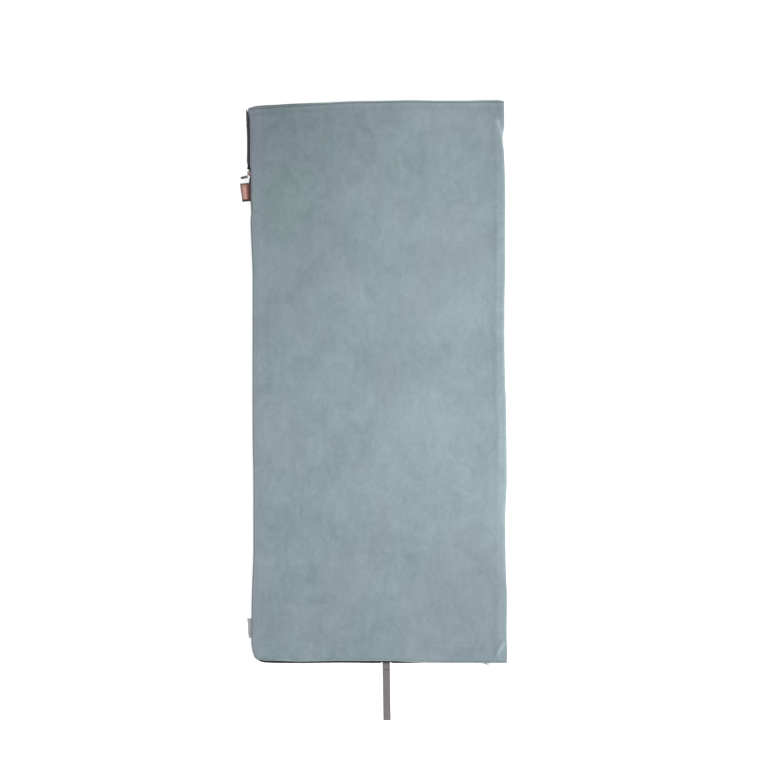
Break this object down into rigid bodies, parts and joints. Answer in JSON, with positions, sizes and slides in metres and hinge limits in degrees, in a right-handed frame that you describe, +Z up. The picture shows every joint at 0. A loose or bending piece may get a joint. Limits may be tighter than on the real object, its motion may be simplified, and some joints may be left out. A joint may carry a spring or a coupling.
{
  "type": "zip-up fleece blanket",
  "caption": "Rectangular brushed-fleece blanket lying flat, folded along one side, zipped down the other side and round the foot, with a roll-up loop and sewn labels.",
  "frame": {"origin": "centre of the flat underside", "axes": "+X towards the side fold, +Y towards the open head end, +Z up through the cover"},
  "size_m": [0.8747, 2.035, 0.022],
  "materials": {
    "outer_fleece": "brushed sea-grey fleece",
    "lining_fleece": "short-pile grey fleece",
    "wadding": "white fibre wadding",
    "zip_tape": "woven charcoal tape",
    "zip_coil": "black nylon coil",
    "zip_end": "black moulded plastic",
    "head_slider": "rust-brown enamel",
    "foot_slider": "grey enamel",
    "pull_metal": "satin nickel",
    "pull_grip": "dark grey moulded grip",
    "webbing": "mauve-grey woven webbing",
    "thread": "dark grey thread",
    "flag": "rust woven label",
    "flag_print": "pale pink woven patch",
    "care": "pale satin label"
  },
  "bodies": {
    "base_panel": {"base_outer_fleece": "outer_fleece", "base_wadding": "wadding", "base_lining": "lining_fleece", "base_head_hem": "outer_fleece", "base_zip_tape": "zip_tape", "base_zip_coil": "zip_coil", "base_top_stop": "zip_end", "zip_retainer_box": "zip_end", "loop_root": "webbing", "care_label": "care"},
    "cover_panel": {"cover_outer_fleece": "outer_fleece", "cover_wadding": "wadding", "cover_lining": "lining_fleece", "cover_head_hem": "outer_fleece", "cover_zip_tape": "zip_tape", "cover_zip_coil": "zip_coil", "cover_top_stop": "zip_end", "insertion_pin": "zip_end", "flag_label": "flag", "flag_label_print": "flag_print"},
    "head_slider": {"head_slider_body": "head_slider"},
    "head_pull": {"head_pull_link": "head_slider", "head_pull_grip": "pull_grip"},
    "foot_slider": {"foot_slider_body": "foot_slider"},
    "foot_pull": {"foot_pull_tab": "pull_metal"},
    "loop": {"roll_up_loop": "webbing", "loop_bar_tack": "thread"}
  },
  "joints": [
    {"name": "cover_fold", "type": "hinge", "parent": "base_panel", "child": "cover_panel", "pos_m": [0.419, 0, 0.011], "axis": [0, 1, 0], "range_deg": [0, 180], "deforming": ["cover_zip_tape", "cover_zip_coil"]},
    {"name": "head_slider_slide", "type": "slide", "parent": "base_panel", "child": "head_slider", "axis": [0, 1, 0], "range_m": [-1.54, 0.186], "deforming": ["base_zip_tape", "base_zip_coil"]},
    {"name": "head_pull_swing", "type": "hinge", "parent": "head_slider", "child": "head_pull", "pos_m": [-0.4278, 0.683, 0.011], "axis": [0, 0, 1], "range_deg": [-105, 24]},
    {"name": "foot_slider_slide", "type": "slide", "parent": "base_panel", "child": "foot_slider", "axis": [-1, 0, 0], "range_m": [0, 0.71]},
    {"name": "foot_pull_swing", "type": "hinge", "parent": "foot_slider", "child": "foot_pull", "pos_m": [0.356, -0.9288, 0.011], "axis": [0, 0, 1], "range_deg": [0, 150]},
    {"name": "loop_lift", "type": "hinge", "parent": "base_panel", "child": "loop", "pos_m": [0.0246, -0.9255, 0.0028], "axis": [-1, 0, 0], "range_deg": [0, 90]}
  ]
}
